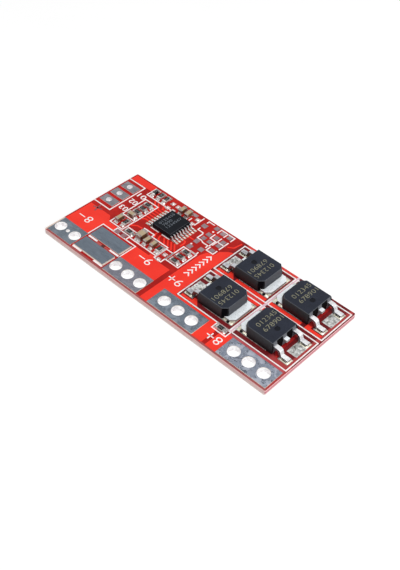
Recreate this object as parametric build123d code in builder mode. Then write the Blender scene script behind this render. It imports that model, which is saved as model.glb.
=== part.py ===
from build123d import *
import os

os.makedirs("parts", exist_ok=True)

# A bare battery management board: one red circuit board that carries four power transistors,
# a controller, chip resistors and capacitors, and tinned terminals for the battery wires.
# Millimetres. The origin is the middle of the board's lower face, +Z is up, +X runs along the
# board from the cell taps to the transistors, and +Y from the wire terminals to the far edge.

# Board
board_thickness = 1.0
corner_radius = 0.25
edge_gap = 0.35
pad_thickness = 0.08
copper_thickness = 0.05

# Wire terminals: tinned pads along the near edge, with plated holes for the wires
terminal_depth = 4.1
hole_diameter = 2.15
barrel_wall = 0.08
tight_rim = 0.1
wide_rim = 0.9
b_minus_pitch = 3.6
p_minus_pitch = 2.86
plus_pitch = 2.98
vent_diameter = 0.7

# Bare pads of the current sense resistor, between the two negative terminals
sense_length = 7.2
sense_depth = 2.85
sense_split = 0.75
sense_edge_gap = 0.97
sense_left_gap = 0.25
sense_right_gap = 0.55
sense_tap_size = 1.0
sense_tap_pitch = 1.55
sense_tap_gap = 0.5

# Gaps along the terminal row
isolation_gap = 2.5
sign_gap = 4.96

# Cell taps: three small plated pads near the left edge
tap_pitch = 2.54
tap_length = 3.35
tap_width = 1.85
tap_hole_diameter = 1.1
tap_hole_offset = 0.15
tap_first_y = 9.33

# Power transistors: two rows and two columns, drain tabs facing each other
body_length = 6.0
body_width = 6.1
body_height = 2.25
body_corner = 0.85
upper_draft = 11
lower_draft = 4
dimple_diameter = 1.0
dimple_depth = 0.06
dimple_offset = 1.3
frame_thickness = 0.5
tab_width = 5.2
tab_reach = 1.25
tab_corner = 0.75
frame_inner_reach = 1.2
lead_pitch = 2.286
lead_width = 0.8
lead_height = 1.05
lead_bend_radius = 0.35
lead_shoulder = 0.95
lead_foot = 1.45
lead_slope = 0.4
lead_embed = 0.7
stub_reach = 0.6
row_pitch = 8.55
row_gap = 1.45
column_gap = 1.05
lead_edge_gap = 1.0

# Solder lands of a power transistor
land_length = 1.9
land_side = 0.3
land_toe = 0.2
source_land_width = 3.8
tab_land_margin = 0.4
tab_land_toe = 0.15

# Controller: a small outline package with sixteen gull-wing leads
ic_end_margin = 0.225
ic_width = 4.4
ic_height = 1.0
ic_standoff = 0.1
ic_draft = 8
ic_lead_count = 8
ic_lead_pitch = 0.65
ic_lead_width = 0.26
ic_lead_thickness = 0.15
ic_shoulder = 0.25
ic_slope = 0.2
ic_foot = 0.6
ic_embed = 0.2
ic_land_length = 1.5
ic_land_width = 0.38
ic_land_toe = 0.6
ic_dot_diameter = 0.5
ic_dot_inset = 0.75
ic_dot_depth = 0.05
ic_place = (14.97, 6.88)

# Chip components: length, width and height of each size
resistor_size = (1.6, 0.8, 0.45)
capacitor_size = (1.6, 0.8, 0.8)
large_capacitor_size = (2.0, 1.25, 1.1)
chip_end_length = 0.35
chip_end_proud = 0.03
chip_land_toe = 0.35
chip_land_heel = 0.15
chip_fillet_height = 0.3
supply_resistor_near_gap = 4.3

# Places of the control parts: distance from the left edge, and distance from the far side of
# the sense lands. Chips add their quarter turns.
far_row_y = 11.38
far_row_margin = 0.55
resistor_places = [
    (8.15, 7.88, 0), (8.15, 6.58, 0), (8.15, 5.28, 0),
    (8.8, 1.93, 1),
    (11.0, 0.68, 0),
    (17.8, 1.28, 1),
    (21.5, 3.88, 0), (21.5, 2.48, 0), (21.5, 1.08, 0),
    (6.45, far_row_y, 1), (7.9, far_row_y, 1), (9.3, far_row_y, 1),
]
capacitor_places = [
    (8.15, 3.98, 0),
    (7.3, 1.88, 1),
    (14.9, 1.28, 1), (16.4, 1.28, 1),
    (13.5, 11.23, 1), (14.95, 11.23, 1),
]
large_capacitor_place = (13.4, 1.38, 1)

# Unfitted lands: the first kind is flat, the second holds a dome of solder
spare_land_size = 1.05
spare_land_places = [
    (18.8, 11.18), (20.85, 12.13), (20.8, 10.18), (20.9, 8.83), (22.3, 8.83), (22.4, 11.88),
    (22.4, 10.38), (24.0, 11.98), (24.0, 10.43), (24.0, 9.18), (24.05, 7.48), (20.6, 7.38),
    (22.6, 6.33), (20.6, 5.53),
]
dome_land_size = 0.8
dome_height = 0.22
dome_slope = 35
dome_crown = 0.08
dome_land_places = [
    (10.8, 12.08), (10.8, 10.63), (12.05, 12.08), (12.05, 10.63),
    (16.85, 12.03), (16.85, 10.58), (19.2, 1.63), (19.2, 0.08),
]

# Masked copper: the raised areas and tracks that show as a brighter red. Corner points are
# measured from the corner or the middle of the pad that each area belongs to, and from the far
# side of the sense lands.
copper_rim = 0.3
far_strip_length = 5.2
far_strip_width = 1.5
b_minus_area = [(-1.0, 1.43), (0.15, 0.18), (2.4, 0.18), (2.4, -0.92)]
p_minus_area = [(-0.93, -0.87), (-0.93, -0.42), (0.07, -0.42), (0.07, -0.87)]
p_plus_area = [(-1.52, 5.28), (-1.07, 6.58), (0.23, 7.08), (0.23, 8.18), (1.33, 9.28)]
p_plus_area_top = 9.68
block_gap = 0.65
print_strip_width = 2.4
sign_slot = 0.77
strip_width = 0.42
drain_strip_width = 0.7
drain_strip_gap = 0.1
drain_strip_inset = 0.95
track_width = 0.22
track_routes = [
    [(11.5, 9.16), (10.5, 9.16), (10.1, 9.88)],
    [(11.5, 8.51), (10.1, 8.51), (8.8, 9.88)],
    [(11.5, 7.86), (9.9, 7.86), (7.9, 9.88)],
    [(11.5, 7.21), (9.75, 7.21)],
    [(11.5, 6.56), (9.75, 6.56)],
    [(11.5, 5.91), (9.75, 5.91)],
    [(11.5, 5.26), (10.3, 5.26), (9.75, 4.88)],
    [(14.3, 4.08), (14.4, 3.48), (14.8, 2.98)],
    [(15.2, 4.08), (15.5, 3.28), (16.0, 2.88)],
    [(16.1, 4.08), (17.1, 2.98)],
    [(16.9, 4.18), (18.0, 2.98)],
    [(17.7, 4.18), (19.1, 2.68)],
    [(18.5, 4.18), (19.8, 2.78)],
    [(18.6, 6.01), (19.2, 5.98), (19.45, 5.58), (19.5, 4.48)],
    [(18.6, 7.31), (19.9, 7.31)],
    [(9.5, 2.18), (10.6, 2.98), (11.7, 3.08)],
]
block_track = [(-1.7, 10.08), (-0.8, 10.68), (-0.5, 12.38)]

# Masked copper under and beside the leads, from the middle of the transistor in its own frame
gate_strip = [(2.9, 3.3), (3.4, 3.3), (3.4, -1.6), (3.75, -1.6), (3.75, -3.15), (6.0, -3.15), (6.0, -3.7), (2.9, -3.7)]
short_strip = [(2.9, 3.3), (3.4, 3.3), (3.4, -1.5), (4.0, -2.5), (3.7, -2.9), (2.9, -2.1)]
source_strip = [(6.0, 3.2), (3.9, 3.2), (3.9, 2.55), (3.4, 2.55), (2.3, 3.7), (6.0, 3.7)]
lead_strips = [source_strip, gate_strip, source_strip, short_strip]

# Worked out along the board: the terminal row, and the control parts with the transistors beside
# them, each need a length, and the board has the larger
b_minus_length = b_minus_pitch + hole_diameter + 2 * tight_rim
p_minus_length = 2 * p_minus_pitch + hole_diameter + 2 * tight_rim
plus_length = 2 * plus_pitch + hole_diameter + 2 * wide_rim
terminal_row_length = (
    edge_gap + b_minus_length + sense_left_gap + sense_length + sense_right_gap + p_minus_length
    + isolation_gap + plus_length + sign_gap + plus_length + edge_gap
)
lead_reach = lead_shoulder + lead_slope + lead_foot
control_length = max(distance for distance, _ in spare_land_places) + spare_land_size / 2 + print_strip_width
power_length = (
    block_gap + land_toe + 2 * (lead_reach + body_length + tab_reach) + column_gap + lead_edge_gap
)
board_length = max(terminal_row_length, control_length + power_length)

# Worked out across the board in the same way
power_width = edge_gap + terminal_depth + row_gap + body_width + row_pitch + row_gap
sense_lands_width = sense_edge_gap + 2 * sense_depth + sense_split + sense_tap_gap + sense_tap_size
control_width = sense_lands_width + far_row_y + resistor_size[0] / 2 + chip_land_toe + far_row_margin
board_width = max(power_width, control_width)

left = -board_length / 2
right = board_length / 2
near = -board_width / 2
far = board_width / 2
control_y = near + sense_lands_width
seat = board_thickness + pad_thickness

b_minus_x = left + edge_gap + b_minus_length / 2
sense_x = b_minus_x + b_minus_length / 2 + sense_left_gap + sense_length / 2
p_minus_x = sense_x + sense_length / 2 + sense_right_gap + p_minus_length / 2
p_plus_x = p_minus_x + p_minus_length / 2 + isolation_gap + plus_length / 2
sign_x = p_plus_x + plus_length / 2 + sign_gap / 2
b_plus_x = sign_x + sign_gap / 2 + plus_length / 2
terminal_y = near + edge_gap + terminal_depth / 2

tap_x = left + edge_gap + tap_length / 2
tap_ys = [control_y + tap_first_y - n * tap_pitch for n in range(3)]

right_column_x = right - lead_edge_gap - lead_reach - body_length / 2
left_column_x = right_column_x - body_length - 2 * tab_reach - column_gap
lower_row_y = near + edge_gap + terminal_depth + row_gap + body_width / 2
upper_row_y = lower_row_y + row_pitch
block_left = left_column_x - body_length / 2 - lead_reach - land_toe - block_gap


def control_place(distance_x, distance_y):
    """A place on the board, measured from its left edge and from the far side of the sense lands."""
    return (left + distance_x, control_y + distance_y)


def row_of(count, pitch, centre_x, centre_y):
    """Places in a row along X about a centre."""
    return [(centre_x + (n - (count - 1) / 2) * pitch, centre_y) for n in range(count)]


# Each terminal: name, centre, pad size, hole places and hole diameter
terminals = [
    ("b_minus_terminal", b_minus_x, b_minus_length, row_of(2, b_minus_pitch, b_minus_x, terminal_y)),
    ("p_minus_terminal", p_minus_x, p_minus_length, row_of(3, p_minus_pitch, p_minus_x, terminal_y)),
    ("p_plus_terminal", p_plus_x, plus_length, row_of(3, plus_pitch, p_plus_x, terminal_y)),
    ("b_plus_terminal", b_plus_x, plus_length, row_of(3, plus_pitch, b_plus_x, terminal_y)),
]
wire_holes = [place for terminal in terminals for place in terminal[3]]
tap_holes = [(tap_x - tap_hole_offset, y) for y in tap_ys]
ic_x, ic_y = control_place(*ic_place)
ic_length = (ic_lead_count - 1) * ic_lead_pitch + 2 * ic_end_margin
vent_place = (b_minus_x, terminal_y)

# Each transistor: column centre, row centre and the turn that points its leads outwards
transistors = [
    (left_column_x, upper_row_y, 180),
    (right_column_x, upper_row_y, 0),
    (left_column_x, lower_row_y, 180),
    (right_column_x, lower_row_y, 0),
]

sense_near_y = near + sense_edge_gap + sense_depth / 2
sense_far_y = sense_near_y + sense_depth + sense_split
sense_tap_y = sense_far_y + sense_depth / 2 + sense_tap_gap + sense_tap_size / 2
supply_resistor_place = (sign_x, near + supply_resistor_near_gap)
lead_axis_height = lead_height + frame_thickness / 2


# The board: a slab drilled for the plated barrels, with a shallow window in its lower mask
# for each terminal, so that the pads on that face lie flush
with BuildPart() as printed_board:
    with BuildSketch():
        Rectangle(board_length, board_width)
        fillet(vertices(), corner_radius)
    extrude(amount=board_thickness)
    with BuildSketch():
        with Locations(*wire_holes):
            Circle(hole_diameter / 2 + barrel_wall)
        with Locations(*tap_holes):
            Circle(tap_hole_diameter / 2 + barrel_wall)
        with Locations(vent_place):
            Circle(vent_diameter / 2 + barrel_wall)
    extrude(amount=board_thickness, mode=Mode.SUBTRACT)
    with BuildSketch():
        for _, centre_x, length, _ in terminals:
            with Locations((centre_x, terminal_y)):
                Rectangle(length, terminal_depth)
        with Locations(*[(tap_x, y) for y in tap_ys]):
            Rectangle(tap_length, tap_width)
    extrude(amount=pad_thickness, mode=Mode.SUBTRACT)
printed_board.part.label = "printed_board"
export_step(printed_board.part, "parts/printed_board.step")


def plated_pad(centre, length, width, holes, diameter, vents=()):
    """A tinned pad on each face, joined by a plated barrel through the board at each hole."""
    with BuildPart() as pad:
        for height in (0, board_thickness):
            with BuildSketch(Plane.XY.offset(height)):
                with Locations(centre):
                    Rectangle(length, width)
            extrude(amount=pad_thickness)
        with BuildSketch():
            with Locations(*holes):
                Circle(diameter / 2 + barrel_wall)
            if vents:
                with Locations(*vents):
                    Circle(vent_diameter / 2 + barrel_wall)
        extrude(amount=board_thickness)
        with BuildSketch():
            with Locations(*holes):
                Circle(diameter / 2)
            if vents:
                with Locations(*vents):
                    Circle(vent_diameter / 2)
        extrude(amount=seat, mode=Mode.SUBTRACT)
    return pad.part


# The four wire terminals
for name, centre_x, length, holes in terminals:
    with BuildPart() as wire_terminal:
        vents = [vent_place] if name == "b_minus_terminal" else []
        add(plated_pad((centre_x, terminal_y), length, terminal_depth, holes, hole_diameter, vents))
    wire_terminal.part.label = name
    export_step(wire_terminal.part, f"parts/{name}.step")

# The three cell taps
for number, (hole, tap_y) in enumerate(zip(tap_holes, tap_ys), 1):
    with BuildPart() as cell_tap:
        add(plated_pad((tap_x, tap_y), tap_length, tap_width, [hole], tap_hole_diameter))
    cell_tap.part.label = f"cell_tap_{number}"
    export_step(cell_tap.part, f"parts/cell_tap_{number}.step")


# The bare pads of the sense resistor
for name, centre_y in (("sense_pad_far", sense_far_y), ("sense_pad_near", sense_near_y)):
    with BuildPart() as sense_pad:
        with BuildSketch(Plane.XY.offset(board_thickness)):
            with Locations((sense_x, centre_y)):
                Rectangle(sense_length, sense_depth)
        extrude(amount=pad_thickness)
    sense_pad.part.label = name
    export_step(sense_pad.part, f"parts/{name}.step")

with BuildPart() as sense_tap_lands:
    with BuildSketch(Plane.XY.offset(board_thickness)):
        with Locations(*row_of(2, sense_tap_pitch, sense_x, sense_tap_y)):
            Rectangle(sense_tap_size, sense_tap_size)
    extrude(amount=pad_thickness)
sense_tap_lands.part.label = "sense_tap_lands"
export_step(sense_tap_lands.part, "parts/sense_tap_lands.step")


# A power transistor, in its own frame: the leads point along +X and the middle of the moulded
# body stands over the origin, on the plane of the lands


def formed_lead(start, shoulder_height, shoulder, slope, foot, thickness, width, radius=None):
    """A flat lead that leaves a body level, steps down a slope and ends in a flat foot."""
    bends = [
        (start, shoulder_height),
        (shoulder, shoulder_height),
        (shoulder + slope, thickness / 2),
        (shoulder + slope + foot, thickness / 2),
    ]
    with BuildPart() as lead:
        with BuildSketch(Plane.XZ):
            with BuildLine():
                if radius:
                    FilletPolyline(*bends, radius=radius)
                else:
                    Polyline(*bends)
            trace(line_width=thickness)
        extrude(amount=width / 2, both=True)
    return lead.part


gate_and_source_lead = formed_lead(
    body_length / 2 - lead_embed, lead_axis_height, body_length / 2 + lead_shoulder, lead_slope,
    lead_foot, frame_thickness, lead_width, lead_bend_radius,
)

# The drain tab is the heat spreader under the body. It steps up inside the body to the cropped
# middle lead, level with the two outer ones.
tab_end = -body_length / 2 - tab_reach
frame_end = body_length / 2 - frame_inner_reach
with BuildPart() as drain_frame:
    with BuildSketch():
        with Locations(((tab_end + frame_end) / 2, 0)):
            Rectangle(frame_end - tab_end, tab_width)
        chamfer(vertices().group_by(Axis.X)[0], tab_corner)
    extrude(amount=frame_thickness)
    with BuildSketch(Plane.XZ):
        with BuildLine():
            Polyline(
                (frame_end - frame_thickness / 2, frame_thickness / 2),
                (frame_end - frame_thickness / 2, lead_axis_height),
                (body_length / 2 + stub_reach, lead_axis_height),
            )
        trace(line_width=frame_thickness)
    extrude(amount=lead_width / 2, both=True)

with BuildPart() as moulded_body:
    with BuildSketch(Plane.XY.offset(lead_axis_height)) as outline:
        Rectangle(body_length, body_width)
        chamfer(vertices().group_by(Axis.X)[0], body_corner)
    extrude(outline.sketch, amount=-lead_axis_height, taper=lower_draft)
    extrude(amount=body_height - lead_axis_height, taper=upper_draft)
    with BuildSketch(Plane.XY.offset(body_height)):
        with Locations((dimple_offset, 0)):
            Circle(dimple_diameter / 2)
    extrude(amount=-dimple_depth, mode=Mode.SUBTRACT)
    add(drain_frame.part, mode=Mode.SUBTRACT)
    with Locations((0, lead_pitch, 0), (0, -lead_pitch, 0)):
        add(gate_and_source_lead, mode=Mode.SUBTRACT)

for number, (column_x, row_y, turn) in enumerate(transistors, 1):
    place = Location((column_x, row_y, seat), (0, 0, turn))
    pieces = [
        (f"transistor_{number}_body", moulded_body.part, Location()),
        (f"transistor_{number}_drain_tab", drain_frame.part, Location()),
        (f"transistor_{number}_gate_lead", gate_and_source_lead, Location((0, -lead_pitch, 0))),
        (f"transistor_{number}_source_lead", gate_and_source_lead, Location((0, lead_pitch, 0))),
    ]
    for name, shape, shift in pieces:
        with BuildPart() as transistor_piece:
            with Locations(place * shift):
                add(shape)
        transistor_piece.part.label = name
        export_step(transistor_piece.part, f"parts/{name}.step")

# The transistors' lands: a small one under the gate, a long one beside and under the source,
# and a wide one under the tab
foot_end = body_length / 2 + lead_reach
land_x = foot_end + land_toe - land_length / 2
gate_land_width = lead_width + 2 * land_side
source_land_y = lead_pitch + lead_width / 2 + land_side - source_land_width / 2
with BuildPart() as transistor_lands:
    for column_x, row_y, turn in transistors:
        with BuildSketch(Plane(origin=(column_x, row_y, board_thickness)).rotated((0, 0, turn))):
            with Locations((land_x, -lead_pitch)):
                Rectangle(land_length, gate_land_width)
            with Locations((land_x, source_land_y)):
                Rectangle(land_length, source_land_width)
            with Locations(((tab_end + frame_end - tab_land_toe) / 2, 0)):
                Rectangle(frame_end - tab_end + tab_land_toe, tab_width + 2 * tab_land_margin)
        extrude(amount=pad_thickness)
transistor_lands.part.label = "transistor_lands"
export_step(transistor_lands.part, "parts/transistor_lands.step")


# The controller
ic_top = seat + ic_standoff + ic_height
ic_parting = ic_standoff + ic_height / 2
ic_lead = formed_lead(
    ic_width / 2 - ic_embed, ic_parting, ic_width / 2 + ic_shoulder, ic_slope,
    ic_foot, ic_lead_thickness, ic_lead_width,
)
ic_lead_ys = [(n - (ic_lead_count - 1) / 2) * ic_lead_pitch for n in range(ic_lead_count)]
for name, turn in (("controller_leads_right", 0), ("controller_leads_left", 180)):
    with BuildPart() as controller_leads:
        with Locations(Location((ic_x, ic_y, seat), (0, 0, turn))):
            with Locations(*[(0, y, 0) for y in ic_lead_ys]):
                add(ic_lead)
    controller_leads.part.label = name
    export_step(controller_leads.part, f"parts/{name}.step")

with BuildPart() as controller_body:
    with BuildSketch(Plane((ic_x, ic_y, seat + ic_parting))) as ic_outline:
        Rectangle(ic_width, ic_length)
    extrude(ic_outline.sketch, amount=-ic_height / 2, taper=ic_draft)
    extrude(amount=ic_height / 2, taper=ic_draft)
    with BuildSketch(Plane((ic_x, ic_y, ic_top))):
        with Locations((ic_dot_inset - ic_width / 2, ic_length / 2 - ic_dot_inset)):
            Circle(ic_dot_diameter / 2)
    extrude(amount=-ic_dot_depth, mode=Mode.SUBTRACT)
    for turn in (0, 180):
        with Locations(Location((ic_x, ic_y, seat), (0, 0, turn))):
            with Locations(*[(0, y, 0) for y in ic_lead_ys]):
                add(ic_lead, mode=Mode.SUBTRACT)
controller_body.part.label = "controller_body"
export_step(controller_body.part, "parts/controller_body.step")

ic_toe_x = ic_width / 2 + ic_shoulder + ic_slope + ic_foot
with BuildPart() as controller_lands:
    with BuildSketch(Plane((ic_x, ic_y, board_thickness))):
        for side in (-1, 1):
            land_centre = side * (ic_toe_x + ic_land_toe - ic_land_length / 2)
            with Locations(*[(land_centre, y) for y in ic_lead_ys]):
                Rectangle(ic_land_length, ic_land_width)
    extrude(amount=pad_thickness)
controller_lands.part.label = "controller_lands"
export_step(controller_lands.part, "parts/controller_lands.step")


# Chip components


def chip(size):
    """A ceramic block along X with a slightly proud metal cap on each end."""
    length, width, height = size
    with BuildPart() as block:
        with BuildSketch():
            Rectangle(length - 2 * chip_end_proud, width - 2 * chip_end_proud)
        extrude(amount=height - chip_end_proud)
        with BuildSketch():
            for side in (-1, 1):
                with Locations((side * (length - chip_end_length) / 2, 0)):
                    Rectangle(chip_end_length, width)
        extrude(amount=height)
    return block.part


def chip_lands_of(size):
    """The two lands of a chip, each with a fillet of solder rising to the end of the cap."""
    length, width, height = size
    with BuildPart() as lands:
        with BuildSketch(Plane.XZ):
            with BuildLine():
                Polyline(
                    (length / 2 - chip_end_length - chip_land_heel, 0),
                    (length / 2 + chip_land_toe, 0),
                    (length / 2 + chip_land_toe, pad_thickness),
                    (length / 2, pad_thickness + chip_fillet_height),
                    (length / 2, pad_thickness),
                    (length / 2 - chip_end_length - chip_land_heel, pad_thickness),
                    close=True,
                )
            make_face()
            mirror(about=Plane.YZ)
        extrude(amount=width / 2, both=True)
    return lands.part


def chip_location(place, height):
    """The location of a chip from its distances to the edges and its quarter turns."""
    distance_x, distance_y, turns = place
    return Location((*control_place(distance_x, distance_y), height), (0, 0, 90 * turns))


resistor_locations = [chip_location(place, 0) for place in resistor_places]
resistor_locations.append(Location((*supply_resistor_place, 0)))
capacitor_locations = [chip_location(place, 0) for place in capacitor_places]
large_capacitor_location = chip_location(large_capacitor_place, 0)

chips = [(f"resistor_{n}", resistor_size, at) for n, at in enumerate(resistor_locations, 1)]
chips += [(f"capacitor_{n}", capacitor_size, at) for n, at in enumerate(capacitor_locations, 1)]
chips.append(("filter_capacitor", large_capacitor_size, large_capacitor_location))

for name, size, at in chips:
    with BuildPart() as chip_component:
        with Locations(Location((0, 0, seat)) * at):
            add(chip(size))
    chip_component.part.label = name
    export_step(chip_component.part, f"parts/{name}.step")

with BuildPart() as chip_lands:
    for name, size, at in chips:
        with Locations(Location((0, 0, board_thickness)) * at):
            add(chip_lands_of(size))
chip_lands.part.label = "chip_lands"
export_step(chip_lands.part, "parts/chip_lands.step")


# Unfitted lands
with BuildPart() as spare_lands:
    with BuildSketch(Plane.XY.offset(board_thickness)):
        with Locations(*[control_place(*place) for place in spare_land_places]):
            Rectangle(spare_land_size, spare_land_size)
    extrude(amount=pad_thickness)
spare_lands.part.label = "spare_lands"
export_step(spare_lands.part, "parts/spare_lands.step")

with BuildPart() as spare_solder:
    with BuildSketch(Plane.XY.offset(board_thickness)):
        with Locations(*[control_place(*place) for place in dome_land_places]):
            Rectangle(dome_land_size, dome_land_size)
    extrude(amount=pad_thickness)
    upper_faces = faces().group_by(Axis.Z)[-1]
    extrude(upper_faces, amount=dome_height, taper=dome_slope)
    chamfer(faces().group_by(Axis.Z)[-1].edges(), dome_crown)
spare_solder.part.label = "spare_solder"
export_step(spare_solder.part, "parts/spare_solder.step")


# Masked copper areas and tracks, cleared round the lands that they pass
terminal_far_y = near + edge_gap + terminal_depth
outer_y = near + copper_rim
p_plus_left = p_plus_x - plus_length / 2
p_plus_right = p_plus_x + plus_length / 2
b_plus_left = b_plus_x - plus_length / 2
b_minus_right = b_minus_x + b_minus_length / 2
p_minus_left = p_minus_x - p_minus_length / 2
p_minus_right = p_minus_x + p_minus_length / 2


def points_from(x, distances):
    """Outline points from their distances to x and to the far side of the sense lands."""
    return [(x + distance_x, control_y + distance_y) for distance_x, distance_y in distances]


b_minus_corners = points_from(b_minus_right, b_minus_area)
p_minus_corners = points_from(p_minus_x, p_minus_area)
p_plus_corners = points_from(p_plus_left, p_plus_area)
area_outlines = [
    [
        (left + copper_rim, terminal_far_y),
        (left + copper_rim, b_minus_corners[0][1]),
        *b_minus_corners,
        (b_minus_right, b_minus_corners[-1][1]),
        (b_minus_right, terminal_far_y),
    ],
    [
        (p_minus_left, terminal_far_y),
        (p_minus_left, p_minus_corners[0][1]),
        *p_minus_corners,
        (p_minus_right, p_minus_corners[-1][1]),
        (p_minus_right, terminal_far_y),
    ],
    [
        (p_plus_left, outer_y),
        (p_plus_corners[0][0], outer_y),
        *p_plus_corners,
        (block_left, control_y + p_plus_area_top),
        (block_left, terminal_far_y + strip_width),
        (p_plus_right, terminal_far_y + strip_width),
        (p_plus_right, terminal_far_y),
        (p_plus_left, terminal_far_y),
    ],
]

# Upright rectangles: their left, lower, right and upper sides
slot_left = sign_x - sign_slot / 2
slot_right = sign_x + sign_slot / 2
drain_strip_end = tab_end - tab_land_toe
drain_strip_start = body_length / 2 - drain_strip_inset
drain_strip_side = tab_width / 2 + tab_land_margin + drain_strip_gap
area_rectangles = [
    (left + copper_rim, far - copper_rim - far_strip_width, left + copper_rim + far_strip_length, far - copper_rim),
    (p_plus_right, outer_y, slot_left, terminal_far_y - strip_width),
    (slot_right, outer_y, b_plus_left, terminal_far_y - strip_width),
    (b_plus_left, terminal_far_y, b_plus_left + plus_length, terminal_far_y + strip_width),
]
for column_x, row_y, turn in transistors:
    strip_ends = [column_x + (drain_strip_end if turn == 0 else -drain_strip_start)]
    strip_ends.append(strip_ends[0] + drain_strip_start - drain_strip_end)
    if row_y == upper_row_y:
        strip_sides = [row_y - drain_strip_side - drain_strip_width, row_y - drain_strip_side]
    else:
        strip_sides = [row_y + drain_strip_side, row_y + drain_strip_side + drain_strip_width]
    area_rectangles.append((strip_ends[0], strip_sides[0], strip_ends[1], strip_sides[1]))

with BuildPart() as copper_areas:
    with BuildSketch(Plane.XY.offset(board_thickness)):
        for points in area_outlines:
            with BuildLine():
                Polyline(*points, close=True)
            make_face()
        for side_left, side_near, side_right, side_far in area_rectangles:
            with Locations(((side_left + side_right) / 2, (side_near + side_far) / 2)):
                Rectangle(side_right - side_left, side_far - side_near)
    extrude(amount=copper_thickness)
    for (column_x, row_y, turn), points in zip(transistors, lead_strips):
        with BuildSketch(Plane(origin=(column_x, row_y, board_thickness)).rotated((0, 0, turn))):
            with BuildLine():
                Polyline(*points, close=True)
            make_face()
        extrude(amount=copper_thickness)
    for lands in (chip_lands, spare_lands, sense_tap_lands, transistor_lands):
        add(lands.part, mode=Mode.SUBTRACT)
copper_areas.part.label = "copper_areas"
export_step(copper_areas.part, "parts/copper_areas.step")

track_lines = [points_from(left, route) for route in track_routes]
track_lines.append(points_from(block_left, block_track))
with BuildPart() as copper_tracks:
    with BuildSketch(Plane.XY.offset(board_thickness)):
        for points in track_lines:
            with BuildLine():
                Polyline(*points)
            trace(line_width=track_width)
    extrude(amount=copper_thickness)
    for lands in (controller_lands, chip_lands, transistor_lands):
        add(lands.part, mode=Mode.SUBTRACT)
copper_tracks.part.label = "copper_tracks"
export_step(copper_tracks.part, "parts/copper_tracks.step")
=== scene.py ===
import math

import bmesh
import bpy
from mathutils import Matrix, Vector


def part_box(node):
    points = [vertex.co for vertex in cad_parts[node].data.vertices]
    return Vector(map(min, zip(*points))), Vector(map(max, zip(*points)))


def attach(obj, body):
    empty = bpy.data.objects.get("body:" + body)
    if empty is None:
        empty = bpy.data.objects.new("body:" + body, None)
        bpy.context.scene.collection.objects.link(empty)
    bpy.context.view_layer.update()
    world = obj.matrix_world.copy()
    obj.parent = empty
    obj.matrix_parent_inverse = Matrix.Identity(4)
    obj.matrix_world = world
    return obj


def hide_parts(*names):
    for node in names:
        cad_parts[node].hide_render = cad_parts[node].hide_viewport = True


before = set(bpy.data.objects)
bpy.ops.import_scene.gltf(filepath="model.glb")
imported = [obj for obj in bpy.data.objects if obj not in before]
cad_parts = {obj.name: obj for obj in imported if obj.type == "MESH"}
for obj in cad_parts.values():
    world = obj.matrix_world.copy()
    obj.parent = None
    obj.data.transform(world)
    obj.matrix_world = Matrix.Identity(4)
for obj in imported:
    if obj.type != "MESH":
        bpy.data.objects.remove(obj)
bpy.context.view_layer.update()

# Millimetres are used for places and sizes, and a finished mesh is scaled to metres
MM = 0.001
BOARD_TOP = 1.0
PAD_TOP = 1.08
MASK_TOP = 1.05
PRINT_TOP = 1.066

# Points of a CAD mesh that are closer than this are merged, and its flat faces are joined
MERGE_DISTANCE = 0.002
FLAT_ANGLE = math.radians(2.0)
SHARP_ANGLE = math.radians(28.0)

# Heights that differ by less than this are level
LEVEL = 0.001

# The steps each way of a solder fillet's grid
FILLET_STEPS = 8

# The far edge of the copper round the battery plus pad
BATTERY_COPPER_Y = -6.97

# Each transistor's number, and the side that its leads point to: -1 is left and 1 is right
TRANSISTORS = ((1, -1), (2, 1), (3, -1), (4, 1))

# The middles of the two rows of transistors, where painted shade darkens the lacquer and the bodies between
# the leads, and the pitches
FAR_LEADS_Y = 6.45
NEAR_LEADS_Y = -2.1
TRANSISTOR_PITCH = 2.28
CONTROLLER_PITCH = 0.65


def linear(red, green, blue):
    """A linear colour from its 0 to 255 values on screen."""
    def one(value):
        value /= 255
        return value / 12.92 if value <= 0.04045 else ((value + 0.055) / 1.055) ** 2.4
    return (one(red), one(green), one(blue), 1.0)


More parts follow.
